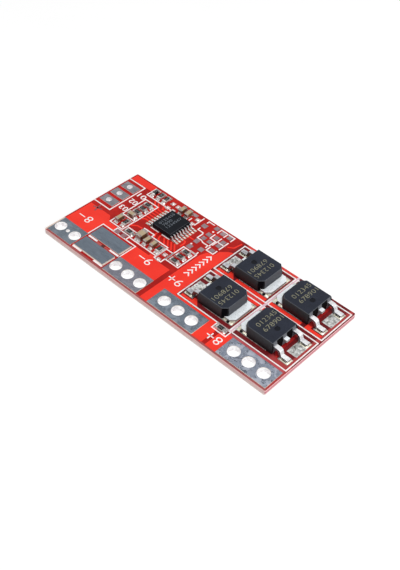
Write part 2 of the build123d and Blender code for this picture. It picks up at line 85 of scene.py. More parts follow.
class Shading:
    """Adds nodes to a shader tree and links them by socket name."""

    def __init__(self, tree):
        self.tree = tree

    def add(self, kind, inputs=None, **settings):
        node = self.tree.nodes.new("ShaderNode" + kind)
        for name, value in settings.items():
            setattr(node, name, value)
        for name, value in (inputs or {}).items():
            self.join(value, node.inputs[name])
        return node

    def join(self, value, socket):
        if isinstance(value, bpy.types.NodeSocket):
            self.tree.links.new(value, socket)
        else:
            socket.default_value = value

    def math(self, operation, first, second=0.0):
        return self.add("Math", {0: first, 1: second}, operation=operation).outputs[0]

    def noise(self, place, scale, detail=3.0, roughness=0.5, distortion=0.0):
        node = self.add("TexNoise", {
            "Vector": place, "Scale": scale, "Detail": detail,
            "Roughness": roughness, "Distortion": distortion,
        })
        return node.outputs["Fac"]

    def spread(self, value, low, high, to_low=0.0, to_high=1.0):
        node = self.add("MapRange", {
            "Value": value, "From Min": low, "From Max": high, "To Min": to_low, "To Max": to_high,
        }, clamp=True)
        return node.outputs["Result"]

    def mix(self, factor, first, second):
        """Mixes two colours, each a socket or a tuple of its 0 to 255 values on screen."""
        pair = [linear(*colour) if isinstance(colour, tuple) else colour for colour in (first, second)]
        return self.add("Mix", {0: factor, 6: pair[0], 7: pair[1]}, data_type="RGBA").outputs[2]

    def bump(self, height, strength, distance):
        node = self.add("Bump", {"Height": height, "Strength": strength, "Distance": distance})
        return node.outputs["Normal"]

    def place(self, stretch=(1.0, 1.0, 1.0)):
        """The object coordinates in metres, stretched along each axis."""
        place = self.add("TexCoord").outputs["Object"]
        return self.add("Mapping", {"Vector": place, "Scale": stretch}).outputs["Vector"]

    def place_parts(self):
        """The object coordinates along X, Y and Z."""
        return self.add("SeparateXYZ", {"Vector": self.place()}).outputs

    def facing(self):
        """The parts along X, Y and Z of the surface's own direction."""
        return self.add("SeparateXYZ", {"Vector": self.add("TexCoord").outputs["Normal"]}).outputs

    def fade(self, value, outside, inside):
        """A mask that rises from 0 to 1 between two places in millimetres."""
        return self.spread(value, outside * MM, inside * MM)

    def band(self, value, centre, outside, inside):
        """A mask along a line, which rises from an outside to an inside distance in millimetres."""
        distance = self.math("ABSOLUTE", self.math("SUBTRACT", value, centre * MM))
        return self.fade(distance, outside, inside)

    def times(self, first, *others):
        """The product of masks or values: masks hold where every one of them does."""
        for other in others:
            first = self.math("MULTIPLY", first, other)
        return first


# Shared effects


def new_group(name, inputs, outputs):
    """A node group with named float, vector or colour sockets; returns it with its two end nodes' sockets."""
    group = bpy.data.node_groups.new(name, "ShaderNodeTree")
    for socket, kind, value in inputs:
        made = group.interface.new_socket(name=socket, in_out="INPUT", socket_type="NodeSocket" + kind)
        if value is not None:
            made.default_value = value
    for socket, kind in outputs:
        group.interface.new_socket(name=socket, in_out="OUTPUT", socket_type="NodeSocket" + kind)
    shading = Shading(group)
    start = group.nodes.new("NodeGroupInput")
    end = group.nodes.new("NodeGroupOutput")
    return group, shading, start.outputs, end.inputs


def make_fine_grain():
    """A moulded or cast surface's fine grain: a mask that varies, and a bumped normal."""
    group, s, given, out = new_group(
        "fine_grain",
        [("Vector", "Vector", None), ("Scale", "Float", 9000.0), ("Depth", "Float", 0.00001)],
        [("Mask", "Float"), ("Normal", "Vector")],
    )
    fine = s.noise(given["Vector"], given["Scale"], 3.0, 0.6)
    broad = s.noise(given["Vector"], 420.0, 2.0)
    s.join(s.math("ADD", s.times(fine, 0.6), s.times(broad, 0.4)), out["Mask"])
    s.join(s.bump(fine, 0.6, given["Depth"]), out["Normal"])
    return group


def make_tin_mottle():
    """Levelled tin: soft cloudy stains with darker tide marks, fine crystals and a slightly uneven skin."""
    group, s, given, out = new_group(
        "tin_mottle",
        [
            ("Vector", "Vector", None), ("Bright", "Color", linear(150, 160, 168)),
            ("Dull", "Color", linear(92, 102, 110)), ("Stain", "Float", 0.5), ("Crystal", "Float", 5200.0),
            ("Tide", "Float", 0.2),
        ],
        [("Color", "Color"), ("Mask", "Float"), ("Normal", "Vector")],
    )
    cloud = s.noise(given["Vector"], 620.0, 4.0, 0.62, 0.6)
    crystal = s.noise(given["Vector"], given["Crystal"], 3.0, 0.7)
    blotch = s.spread(cloud, 0.36, 0.64)
    grit = s.spread(crystal, 0.32, 0.68)
    crystals_show = s.math("SUBTRACT", 1.0, given["Stain"])
    mask = s.math("ADD", s.times(blotch, given["Stain"]), s.times(grit, crystals_show))
    tide = s.spread(s.math("ABSOLUTE", s.math("SUBTRACT", cloud, 0.5)), 0.016, 0.004)
    tin = s.mix(mask, given["Dull"], given["Bright"])
    s.join(s.mix(s.times(tide, given["Tide"]), tin, (46, 52, 64)), out["Color"])
    s.join(mask, out["Mask"])
    s.join(s.bump(s.math("ADD", cloud, s.times(crystal, 0.3)), 0.5, 0.00003), out["Normal"])
    return group


FINE_GRAIN = make_fine_grain()
TIN_MOTTLE = make_tin_mottle()


# Materials


def new_material(name):
    """A material that ends in a Principled shader; returns it, its nodes and the shader's inputs."""
    material = bpy.data.materials.new(name)
    material.use_nodes = True
    material.node_tree.nodes.clear()
    s = Shading(material.node_tree)
    shader = s.add("BsdfPrincipled")
    s.add("OutputMaterial", {"Surface": shader.outputs["BSDF"]})
    return material, s, shader.inputs


# The specular level of the lacquer
LACQUER_GLOSS = 0.12


def solder_mask(name, plain, shade_between_leads, near_strip):
    """Glossy red lacquer over copper, with faint clouds, each finish from a deep and a light colour.

    It has painted shade between the leads of the right-hand transistors, and is a darker pink in the strip
    past battery plus as painted shade in front of the near right transistor.
    """
    material, s, shader = new_material(name)
    place = s.place()
    xyz = s.place_parts()
    cloud = s.noise(place, 240.0, 3.0, 0.55)
    soft = s.spread(cloud, 0.3, 0.7)
    fleck = s.spread(s.noise(place, 3600.0, 2.0, 0.6), 0.62, 0.74)

    far_row = s.band(xyz["Y"], FAR_LEADS_Y, 2.8, 2.6)
    near_row = s.band(xyz["Y"], NEAR_LEADS_Y, 2.8, 2.6)
    lead_column = s.times(s.fade(xyz["X"], 20.1, 20.6), s.fade(xyz["X"], 22.8, 22.5))
    lead_shade_mask = s.times(lead_column, s.math("MAXIMUM", far_row, near_row))
    strip_y = s.times(s.fade(xyz["Y"], -5.6, -5.9), s.fade(xyz["Y"], -6.7, -6.6))
    in_strip = s.times(strip_y, s.fade(xyz["X"], 13.8, 14.2))
    # Painted shade: deeper lacquer between the right-hand leads, and a darker pink in the strip in front of
    # the near right transistor
    colour = s.mix(lead_shade_mask, s.mix(soft, *plain), s.mix(soft, *shade_between_leads))
    colour = s.mix(in_strip, colour, s.mix(soft, *near_strip))
    s.join(s.mix(s.times(fleck, 0.25), colour, plain[1]), shader["Base Color"])

    s.join(s.spread(cloud, 0.2, 0.8, 0.3, 0.44), shader["Roughness"])
    s.join(s.bump(s.noise(place, 1500.0, 2.0), 0.35, 0.00002), shader["Normal"])
    shader["Specular IOR Level"].default_value = LACQUER_GLOSS
    return material


def bare_lacquer(s, place, xyz):
    """The lacquer's colour where no copper lies under it: dark red, with paler places on the upper face."""
    x, y = xyz["X"], xyz["Y"]
    soft = s.spread(s.noise(place, 300.0, 3.0, 0.55), 0.3, 0.7)
    warm, deep = s.mix(soft, *WARM_LACQUER), s.mix(soft, *DEEP_LACQUER)
    by_transistors = s.fade(x, 0.8, 2.4)
    by_plus_sign = s.times(s.fade(x, 13.2, 13.0), s.fade(y, -7.4, -7.7))
    near_corner = s.times(s.fade(x, 20.6, 21.6), s.fade(y, -4.6, -5.0))
    right_border = s.times(s.fade(x, 23.9, 24.1), s.fade(x, 24.75, 24.7))
    between_rows = s.math("MAXIMUM", s.band(y, 2.18, 0.4, 0.32), s.fade(y, 10.36, 10.42))
    left_columns = s.times(s.fade(x, 13.6, 13.3), s.fade(x, 2.2, 3.0))
    between_columns = s.times(s.band(x, 13.6, 0.26, 0.2), s.fade(y, -6.2, -6.0))
    zones = [
        (by_transistors, deep),
        (by_plus_sign, warm),
        (s.math("MAXIMUM", near_corner, right_border), (172, 66, 66)),
        (s.times(between_rows, left_columns), (220, 70, 64)),
        (between_columns, (230, 196, 208)),
    ]
    colour = warm
    upper_face = s.fade(xyz["Z"], 0.4, 0.6)
    for zone, finish in zones:
        colour = s.mix(s.times(zone, upper_face), colour, finish)
    near_margin = s.times(s.fade(y, -10.55, -10.7), 0.8)
    colour = s.mix(near_margin, colour, (160, 92, 92))
    bare_corner = s.times(s.fade(x, -24.62, -24.7), s.fade(y, -6.4, -6.7))
    return s.mix(bare_corner, colour, (226, 204, 190))


def cut_laminate(s, cloth, height, rightward):
    """The cut edge's colour: glass cloth, rosier at the right end, pink at its top, pale at its foot."""
    colour = s.mix(cloth, (232, 190, 188), (250, 228, 224))
    rosy = s.mix(cloth, (192, 114, 128), (205, 140, 150))
    colour = s.mix(s.math("GREATER_THAN", rightward, 0.5), colour, rosy)
    colour = s.mix(s.fade(height, 0.7, 0.86), colour, (255, 206, 204))
    return s.mix(s.fade(height, 0.4, 0.05), colour, (248, 232, 226))


def laminate_board():
    """The slab: dark red lacquer on both faces, and the cut edge of the laminate between them."""
    material, s, shader = new_material("board_mask_and_edge")
    place = s.place()
    xyz = s.place_parts()
    normal = s.facing()
    flat = s.math("GREATER_THAN", s.math("ABSOLUTE", normal["Z"]), 0.5)
    fibre = s.noise(s.place((1.0, 1.0, 26.0)), 420.0, 4.0, 0.65)
    cut = cut_laminate(s, s.spread(fibre, 0.34, 0.66), xyz["Z"], normal["X"])
    s.join(s.mix(flat, cut, bare_lacquer(s, place, xyz)), shader["Base Color"])
    s.join(s.spread(flat, 0.0, 1.0, 0.75, 0.38), shader["Roughness"])
    rough = s.times(fibre, s.math("SUBTRACT", 1.0, flat))
    peel = s.times(s.noise(place, 1500.0, 2.0), s.times(flat, 0.4))
    s.join(s.bump(s.math("ADD", rough, peel), 0.4, 0.00003), shader["Normal"])
    shader["Specular IOR Level"].default_value = LACQUER_GLOSS
    return material


def levelled_tin(
    name, bright, dull, stain, wall=None, streak=(1.0, 1.0, 1.0), metal=0.75, tide=0.2, crystal=5200.0,
):
    """A flat tinned pad, with bright clouded plating on the walls of its holes."""
    material, s, shader = new_material(name)
    place = s.place(streak)
    mottle = s.add("Group", {
        "Vector": place, "Bright": linear(*bright), "Dull": linear(*dull),
        "Stain": stain, "Tide": tide, "Crystal": crystal,
    }, node_tree=TIN_MOTTLE)
    colour = mottle.outputs["Color"]
    if wall:
        upright = s.math("LESS_THAN", s.math("ABSOLUTE", s.facing()["Z"]), 0.5)
        cloud = s.spread(s.noise(place, 1400.0, 3.0, 0.6), 0.36, 0.6)
        colour = s.mix(upright, colour, s.mix(cloud, *wall))
    s.join(colour, shader["Base Color"])
    s.join(s.spread(mottle.outputs["Mask"], 0.0, 1.0, 0.52, 0.34), shader["Roughness"])
    s.join(mottle.outputs["Normal"], shader["Normal"])
    shader["Metallic"].default_value = metal
    return material


def bright_metal(name, light, shade, roughness, ripple, scale, metal=1.0):
    """Bright tin plate or a shiny solder skin, with soft ripples."""
    material, s, shader = new_material(name)
    place = s.place()
    wave = s.noise(place, scale, 3.0, 0.55, 0.4)
    fine = s.noise(place, 7000.0, 2.0, 0.6)
    s.join(s.mix(s.spread(wave, 0.3, 0.7), shade, light), shader["Base Color"])
    s.join(s.spread(fine, 0.2, 0.8, roughness - 0.05, roughness + 0.12), shader["Roughness"])
    s.join(s.bump(wave, 0.5, ripple), shader["Normal"])
    shader["Metallic"].default_value = metal
    return material


def formed_tin(name, top, side, low, metal=0.7):
    """Tin on a formed lead or tab: between the low and top colours where it looks up, with painted shade on
    its sides.
    """
    material, s, shader = new_material(name)
    wave = s.spread(s.noise(s.place(), 1100.0, 3.0, 0.55, 0.4), 0.3, 0.7)
    lit_top_mask = s.spread(s.facing()["Z"], 0.1, 0.45)
    # Painted shade: faces that don't look up take the side colour
    s.join(s.mix(lit_top_mask, side, s.mix(wave, low, top)), shader["Base Color"])
    s.join(s.spread(wave, 0.0, 1.0, 0.34, 0.22), shader["Roughness"])
    s.join(s.bump(wave, 0.5, 0.00001), shader["Normal"])
    shader["Metallic"].default_value = metal
    return material


def rolled_edge(name, lit, shaded):
    """The thin rounded edge of a tinned pad: a cream painted highlight towards the near and right sides, grey
    elsewhere.
    """
    material, s, shader = new_material(name)
    normal = s.facing()
    near_and_right = s.math("SUBTRACT", s.times(normal["X"], 0.6), normal["Y"])
    wear_and_sheen = s.spread(s.noise(s.place(), 900.0, 3.0, 0.6), 0.3, 0.6, 0.55, 1.0)
    # Painted highlight: cream on faces towards the near and right, broken up by noise
    cream = s.times(s.spread(near_and_right, 0.1, 0.5), wear_and_sheen)
    s.join(s.mix(cream, shaded, lit), shader["Base Color"])
    s.join(s.spread(wear_and_sheen, 0.5, 1.0, 0.5, 0.36), shader["Roughness"])
    shader["Metallic"].default_value = 0.5
    return material


def start_epoxy(name, deep, light, roughness):
    """Filled epoxy with a fine grain; returns the material, its nodes, the shader and the colour so far."""
    material, s, shader = new_material(name)
    grain = s.add("Group", {
        "Vector": s.place(), "Scale": 9500.0, "Depth": 0.000008,
    }, node_tree=FINE_GRAIN).outputs
    s.join(s.spread(grain["Mask"], 0.3, 0.7, roughness + 0.08, roughness - 0.06), shader["Roughness"])
    s.join(grain["Normal"], shader["Normal"])
    return material, s, shader, s.mix(s.spread(grain["Mask"], 0.35, 0.65), deep, light)


def moulded_epoxy(name, deep, light, roughness=0.5, gloss=0.25):
    """Filled black epoxy, a dark glaze, a dimple's floor, or painted shade in the solder's gaps, in one
    finish all round.
    """
    material, s, shader, colour = start_epoxy(name, deep, light, roughness)
    s.join(colour, shader["Base Color"])
    shader["Specular IOR Level"].default_value = gloss
    return material


def edge_highlight_epoxy(name, deep, light, upright):
    """The rounded edges of a moulding, with a painted highlight where they look up and painted shade where
    they stand upright.
    """
    material, s, shader, colour = start_epoxy(name, deep, light, 0.5)
    # Painted highlight on edges that look up, painted shade on upright ones
    s.join(s.mix(s.spread(s.facing()["Z"], 0.25, 0.5), upright, colour), shader["Base Color"])
    shader["Specular IOR Level"].default_value = 0.25
    return material


def transistor_epoxy(name, right_face_light, foot, lead_gap_shade=False):
    """A transistor's body with painted light and shade: a dark cut corner, a near face that darkens downwards
    and a paler right face.

    The painted light on the right face keeps the share foot of its paleness at its foot, and painted shade is
    black between the leads if asked.
    """
    material, s, shader, colour = start_epoxy(name, (24, 28, 38), (37, 42, 56), 0.5)
    normal = s.facing()
    xyz = s.place_parts()
    # Painted shade: the near face darkens from its top down to its foot
    near_face_shade = s.mix(s.fade(xyz["Z"], 1.3, 3.1), (14, 14, 17), (58, 59, 62))
    colour = s.mix(s.spread(normal["Y"], -0.75, -0.9), colour, near_face_shade)
    # Painted shade: the cut corner is nearly black
    shadow = s.times(s.spread(normal["X"], 0.4, 0.5), s.spread(normal["Y"], -0.4, -0.5))
    colour = s.mix(shadow, colour, (9, 9, 13))
    # Painted light: the right face is paler, less so at its foot
    to_right = s.spread(normal["X"], 0.75, 0.9)
    pale = s.times(to_right, s.spread(xyz["Z"], 1.2 * MM, 2.6 * MM, foot, 1.0))
    colour = s.mix(pale, colour, right_face_light)
    if lead_gap_shade:
        # Painted shade: black between the leads and past the first lead on the right face
        row = s.spread(xyz["Y"], 2.1 * MM, 2.2 * MM, NEAR_LEADS_Y * MM, FAR_LEADS_Y * MM)
        aside = s.math("ABSOLUTE", s.math("SUBTRACT", xyz["Y"], row))
        gap = s.math("MAXIMUM", s.band(aside, TRANSISTOR_PITCH / 2, 0.78, 0.64), s.fade(aside, 2.62, 2.7))
        gap = s.times(to_right, gap)
        colour = s.mix(gap, colour, (12, 10, 11))
        shadow = s.math("MAXIMUM", shadow, gap)
    s.join(colour, shader["Base Color"])
    s.join(s.spread(shadow, 0.0, 1.0, 0.18, 0.02), shader["Specular IOR Level"])
    return material


def printed_ink(name, body, thin, roughness=0.7):
    """Ink, a laser mark or a bare spot, a little uneven where it is thin."""
    material, s, shader = new_material(name)
    cover = s.spread(s.noise(s.place(), 3200.0, 3.0, 0.65), 0.3, 0.5)
    s.join(s.mix(cover, thin, body), shader["Base Color"])
    s.join(s.spread(cover, 0.0, 1.0, roughness + 0.1, roughness - 0.1), shader["Roughness"])
    shader["Specular IOR Level"].default_value = 0.2
    return material


def fired_ceramic(name, top, side):
    """Brown fired ceramic with fine pits, with painted light making it paler on top and painted shade on its
    sides.
    """
    material, s, shader = new_material(name)
    grain = s.add("Group", {
        "Vector": s.place(), "Scale": 7000.0, "Depth": 0.00001,
    }, node_tree=FINE_GRAIN).outputs
    # Painted light and shade: the top colour where it looks up, the side colour on its sides
    colour = s.mix(s.spread(s.facing()["Z"], 0.3, 0.8), side, top)
    s.join(s.mix(s.times(grain["Mask"], 0.35), colour, side), shader["Base Color"])
    s.join(s.spread(grain["Mask"], 0.3, 0.7, 0.5, 0.34), shader["Roughness"])
    s.join(grain["Normal"], shader["Normal"])
    return material


# Lacquer and board
WARM_LACQUER = ((160, 22, 19), (198, 35, 28))
DEEP_LACQUER = ((98, 22, 27), (128, 34, 38))
BOARD = laminate_board()
# Plain lacquer, then painted shade between the right-hand leads, then painted shade in the pink strip past
# battery plus
RAISED_MASK = solder_mask(
    "raised_mask_red", ((244, 54, 43), (255, 65, 50)),
    ((160, 30, 32), (186, 42, 42)), ((176, 70, 76), (200, 94, 98)),
)

# Tinned pads and lands
PLATED_WALL = ((224, 219, 221), (254, 253, 254))
TAP_WALL = ((236, 232, 236), (255, 254, 255))
PAD_TIN = levelled_tin("terminal_tin", (128, 138, 149), (90, 98, 107), 0.6, PLATED_WALL)
LOAD_TIN = levelled_tin("load_terminal_tin", (142, 142, 153), (102, 103, 114), 0.6, PLATED_WALL)
STAINED_TIN = levelled_tin(
    "stained_terminal_tin", (140, 150, 162), (86, 95, 106), 0.75, PLATED_WALL, tide=0.55,
)
BATTERY_TIN = levelled_tin(
    "battery_terminal_tin", (176, 181, 194), (112, 120, 136), 0.85, PLATED_WALL, tide=0.95,
)
SENSE_TIN = levelled_tin(
    "sense_pad_tin", (117, 128, 140), (88, 97, 108), 0.35, streak=(0.25, 2.2, 1.0), tide=0.0,
)
TAP_TIN = levelled_tin("cell_tap_tin", (150, 146, 152), (106, 105, 112), 0.6, TAP_WALL, metal=0.35)
LAND_TIN = levelled_tin("land_tin", (252, 254, 252), (76, 72, 66), 0.05, metal=0.5, tide=0.3, crystal=1700.0)
SPARE_TIN = levelled_tin("spare_land_tin", (172, 148, 152), (128, 106, 112), 0.6, metal=0.5)
TAP_LAND_TIN = levelled_tin("sense_tap_tin", (158, 116, 120), (118, 80, 88), 0.6, metal=0.4)
# Pad edges: a cream painted highlight on the near and right sides, grey elsewhere
PAD_EDGE = rolled_edge("pad_edge_tin", (224, 212, 194), (112, 108, 114))

# Leads, tabs and end caps
# The second colour of each formed tin is painted shade on its sides; the shaded lead tin is darker all over
# as painted shade and a painted reflection of the dark body beside it
LEAD_TIN = formed_tin("lead_tin", (250, 250, 251), (124, 124, 130), (204.9, 206.4, 210.8))
SHADED_LEAD_TIN = formed_tin("shaded_lead_tin", (226, 228, 234), (96, 90, 88), (132, 130, 132))
FINE_LEAD_TIN = formed_tin("fine_lead_tin", (255, 252, 251), (58, 46, 50), (206, 200, 202))
TAB_TIN = formed_tin("drain_tab_tin", (248, 253, 255), (168, 164, 166), (243, 249, 255), 0.2)
DULL_CAP_TIN = bright_metal("dull_end_cap_tin", (196, 188, 178), (112, 104, 102), 0.36, 0.00003, 2400.0)
CAP_TIN = bright_metal("end_cap_tin", (250, 248, 245), (150, 142, 138), 0.3, 0.00003, 2400.0, 0.6)

# Solder
DOME_SOLDER = bright_metal("dome_solder", (248, 240, 236), (160, 128, 132), 0.24, 0.00008, 2600.0, 0.6)
SHINY_SOLDER = bright_metal("shiny_solder", (252, 247, 226), (172, 166, 148), 0.22, 0.00006, 1800.0, 0.6)
VENT_SOLDER = bright_metal("vent_solder", (255, 253, 252), (228, 222, 224), 0.3, 0.00003, 2600.0, 0.1)
CHIP_SOLDER = bright_metal("chip_solder_skin", (250, 244, 240), (112, 98, 100), 0.24, 0.00008, 2600.0, 0.6)

# Packages and chips
# The colour is the painted light on each body's right face; the lead side's bodies also get painted shade
# between their leads
TRANSISTOR_EPOXY = transistor_epoxy("transistor_epoxy", (76, 78, 84), 0.3)
LEAD_SIDE_EPOXY = transistor_epoxy("lead_side_epoxy", (98, 100, 106), 1.0, lead_gap_shade=True)
# Rounded body edges: a painted highlight where they look up, painted shade where they stand upright
EPOXY_EDGE = edge_highlight_epoxy("epoxy_edge_painted_light", (64, 68, 74), (88, 92, 98), (20, 21, 25))
CONTROLLER_EPOXY = moulded_epoxy("controller_epoxy", (8, 11, 17), (16, 20, 28), 0.5, 0.1)
DIMPLE_EPOXY = moulded_epoxy("dimple_epoxy", (7, 8, 14), (15, 18, 28), 0.4, 0.12)
RESISTOR_GLAZE = moulded_epoxy("resistor_glaze", (10, 10, 13), (22, 22, 26), 0.34, 0.16)
# Near black, for the painted shade in the solder by the tabs and feet
GAP_SHADE = moulded_epoxy("painted_gap_shade", (8, 7, 8), (18, 15, 15), 0.5, 0.1)
ALUMINA = printed_ink("resistor_alumina", (196, 188, 186), (160, 152, 152), 0.5)
# The first colour is the capacitors' painted lit top, the second their painted shaded sides
CERAMIC = fired_ceramic("capacitor_ceramic", (192, 174, 140), (98, 70, 46))

# Print, laser marks and bare spots
SILK = printed_ink("white_print", (255, 251, 251), (252, 222, 220))
CHIP_MARK = printed_ink("chip_value_mark", (150, 150, 148), (84, 84, 86))
TOP_MARK = printed_ink("package_mark", (148, 145, 121), (88, 90, 84))
DIM_MARK = printed_ink("controller_mark", (122, 129, 138), (56, 61, 68))
PALE_GAP = printed_ink("pale_gap", (186, 84, 80), (140, 44, 44), 0.5)
DARK_GAP = printed_ink("dark_red_gap", (92, 36, 30), (56, 16, 16), 0.5)
# Cream lines beside the sense pads: a painted highlight of their edges
CREAM_LINE = printed_ink("cream_line", (224, 208, 196), (178, 150, 142), 0.5)
DEEP_RED = printed_ink("deep_red_gap", (146, 24, 34), (116, 16, 26), 0.45)
BARE_MARK = printed_ink("bare_spot", (150, 84, 86), (126, 58, 60), 0.55)


# Making pieces


def keep_piece(name, bm, materials, stands_for=(), smooth_to=0):
    """Turns a bmesh in millimetres into a piece of the object, on the root body.

    With smooth_to, its faces are shaded smooth, and edges over that angle in degrees stay sharp.
    """
    bmesh.ops.scale(bm, vec=(MM, MM, MM), verts=bm.verts)
    mesh = bpy.data.meshes.new(name)
    bm.to_mesh(mesh)
    bm.free()
    for material in materials:
        mesh.materials.append(material)
    if smooth_to:
        mesh.polygons.foreach_set("use_smooth", [True] * len(mesh.polygons))
        mesh.set_sharp_from_angle(angle=math.radians(smooth_to))
    piece = bpy.data.objects.new(name, mesh)
    bpy.context.scene.collection.objects.link(piece)
    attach(piece, "root")
    if stands_for:
        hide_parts(*stands_for)
    return piece


def edges_of(verts):
    """The edges that meet at any of the vertices."""
    return list({edge for vert in verts for edge in vert.link_edges})


def faces_of(verts):
    """The faces that meet at any of the vertices."""
    return list({face for vert in verts for face in vert.link_faces})


def round_edges(bm, edges, radius, segments=2, clamp=False):
    """Rounds edges, and returns what the bevel made."""
    return bmesh.ops.bevel(
        bm, geom=edges, offset=radius, offset_type="OFFSET", segments=segments, profile=0.5,
        affect="EDGES", clamp_overlap=clamp, material=-1,
    )


def add_cube(bm, low, high):
    """A plain block between two corners; returns its vertices."""
    low, high = Vector(low), Vector(high)
    at = Matrix.Translation((low + high) / 2) @ Matrix.Diagonal((*(high - low), 1.0))
    return bmesh.ops.create_cube(bm, size=1.0, matrix=at)["verts"]


def add_block(bm, low, high, material=0, bevel=0.0, segments=2):
    """A block between two corners, with rounded edges if asked; returns its vertices."""
    verts = add_cube(bm, low, high)
    if bevel:
        verts = round_edges(bm, edges_of(verts), bevel, segments)["verts"]
    faces = faces_of(verts)
    for face in faces:
        face.material_index = material
    return list({vert for face in faces for vert in face.verts})


def add_plate(bm, centre, across, along, base, top, material=0, bevel=0.0, segments=2):
    """A block round a centre, with its sizes along X and Y and its two heights."""
    x, y = centre
    low = (x - across / 2, y - along / 2, base)
    high = (x + across / 2, y + along / 2, top)
    return add_block(bm, low, high, material, bevel, segments)


def add_disc(bm, centre, radius, base, top, segments):
    """An upright round disc between two heights."""
    at = Matrix.Translation((*centre, (base + top) / 2))
    bmesh.ops.create_cone(
        bm, cap_ends=True, segments=segments, radius1=radius, radius2=radius, depth=top - base, matrix=at,
    )


def add_bead(bm, centre, size, base, height, rings, segments):
    """A low bead of solder: half of a flattened ball that stands on its land."""
    at = Matrix.Translation((*centre, base)) @ Matrix.Diagonal((size[0] / 2, size[1] / 2, height, 1.0))
    made = bmesh.ops.create_uvsphere(bm, u_segments=segments, v_segments=rings, radius=1.0, matrix=at)
    ball = made["verts"] + edges_of(made["verts"]) + faces_of(made["verts"])
    cut = bmesh.ops.bisect_plane(bm, geom=ball, plane_co=(0, 0, base), plane_no=(0, 0, -1), clear_outer=True)
    rim = [item for item in cut["geom_cut"] if isinstance(item, bmesh.types.BMEdge)]
    bmesh.ops.holes_fill(bm, edges=rim, sides=0)


def place_verts(bm, verts, centre, turn):
    """Turns vertices about the origin and moves them to a centre on the board."""
    at = Matrix.Translation((*centre, 0.0)) @ Matrix.Rotation(turn, 4, "Z")
    bmesh.ops.transform(bm, verts=verts, matrix=at)


def box_mm(node):
    """A CAD node's corners in millimetres."""
    low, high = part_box(node)
    return low / MM, high / MM


def middle(node):
    """The centre of a CAD node in the board's plane, in millimetres."""
    low, high = box_mm(node)
    return ((low.x + high.x) / 2, (low.y + high.y) / 2)


def end_of(node, side):
    """A CAD node's lowest and highest Y, and the X of its end towards the left, -1, or the right, 1."""
    low, high = box_mm(node)
    return low.y, high.y, high.x if side > 0 else low.x


def mesh_of(node):
    """A CAD node's own mesh in millimetres, with its flat faces joined."""
    bm = bmesh.new()
    bm.from_mesh(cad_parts[node].data)
    bmesh.ops.scale(bm, vec=(1 / MM, 1 / MM, 1 / MM), verts=bm.verts)
    bmesh.ops.remove_doubles(bm, verts=bm.verts, dist=MERGE_DISTANCE)
    bmesh.ops.dissolve_limit(bm, angle_limit=FLAT_ANGLE, verts=bm.verts, edges=bm.edges)
    return bm


def crisp_copy(node, material, radius, edge_material=None, sunk=0.0, shortest=0.0):
    """A node's own mesh with fine rounds on its sharp edges, which stands for the node.

    Its upper face lies lower by sunk, and edges that are no longer than shortest aren't rounded.
    """
    bm = mesh_of(node)
    highest = max(vert.co.z for vert in bm.verts)
    for vert in bm.verts:
        if vert.co.z > highest - LEVEL:
            vert.co.z -= sunk
    inner = [edge for edge in bm.edges if len(edge.link_faces) == 2 and edge.calc_length() > shortest]
    sharp = [edge for edge in inner if edge.calc_face_angle(0.0) > SHARP_ANGLE]
    rounds = round_edges(bm, sharp, radius, clamp=True)["faces"]
    materials = [material]
    if edge_material:
        materials.append(edge_material)
        for face in rounds:
            face.material_index = 1
    bmesh.ops.recalc_face_normals(bm, faces=bm.faces)
    return keep_piece(node + "_finish", bm, materials, (node,), smooth_to=20)


def add_text(bm, words, height, length, centre, turn, base, top, weight, material=0):
    """Plain numbers as a thin raised print of a set height and length, turned about its centre."""
    curve = bpy.data.curves.new("print", "FONT")
    curve.body = words
    curve.size = 1.0
    curve.offset = weight
    curve.extrude = 0.5
    curve.resolution_u = 3
    holder = bpy.data.objects.new("print", curve)
    bpy.context.scene.collection.objects.link(holder)
    graph = bpy.context.evaluated_depsgraph_get()
    mesh = bpy.data.meshes.new_from_object(holder.evaluated_get(graph))
    bpy.data.objects.remove(holder)
    xs = [vert.co.x for vert in mesh.vertices]
    ys = [vert.co.y for vert in mesh.vertices]
    flat = Matrix.Translation((-(min(xs) + max(xs)) / 2, -(min(ys) + max(ys)) / 2, 0.0))
    size = Matrix.Diagonal((length / (max(xs) - min(xs)), height / (max(ys) - min(ys)), top - base, 1.0))
    at = Matrix.Translation((*centre, (base + top) / 2)) @ Matrix.Rotation(turn, 4, "Z")
    mesh.transform(at @ size @ flat)
    before = len(bm.faces)
    bm.from_mesh(mesh)
    bm.faces.ensure_lookup_table()
    for face in bm.faces[before:]:
        face.material_index = material
    bpy.data.meshes.remove(mesh)
    bpy.data.curves.remove(curve)


# Print on the board


def add_line(bm, points, closed=False):
    """An upright ribbon along points, to which Solidify gives the width of a printed line."""
    verts = [bm.verts.new((x, y, BOARD_TOP)) for x, y in points]
    ends = verts[1:] + verts[:1] if closed else verts[1:]
    edges = [bm.edges.new(pair) for pair in zip(verts, ends)]
    raised = bmesh.ops.extrude_edge_only(bm, edges=edges)["geom"]
    risen = [item for item in raised if isinstance(item, bmesh.types.BMVert)]
    bmesh.ops.translate(bm, vec=(0.0, 0.0, PRINT_TOP - BOARD_TOP), verts=risen)


def printed_lines(name, width, boxes, lines):
    """White lines of one width: closed boxes given by two corners, and open runs of points."""
    bm = bmesh.new()
    for x0, y0, x1, y1 in boxes:
        add_line(bm, [(x0, y0), (x1, y0), (x1, y1), (x0, y1)], closed=True)
    for points in lines:
        add_line(bm, points)
    bmesh.ops.recalc_face_normals(bm, faces=bm.faces)
    piece = keep_piece(name, bm, [SILK])
    thick = piece.modifiers.new("line_width", "SOLIDIFY")
    thick.thickness = width * MM
    thick.offset = 0.0
    thick.use_even_offset = True
    return piece


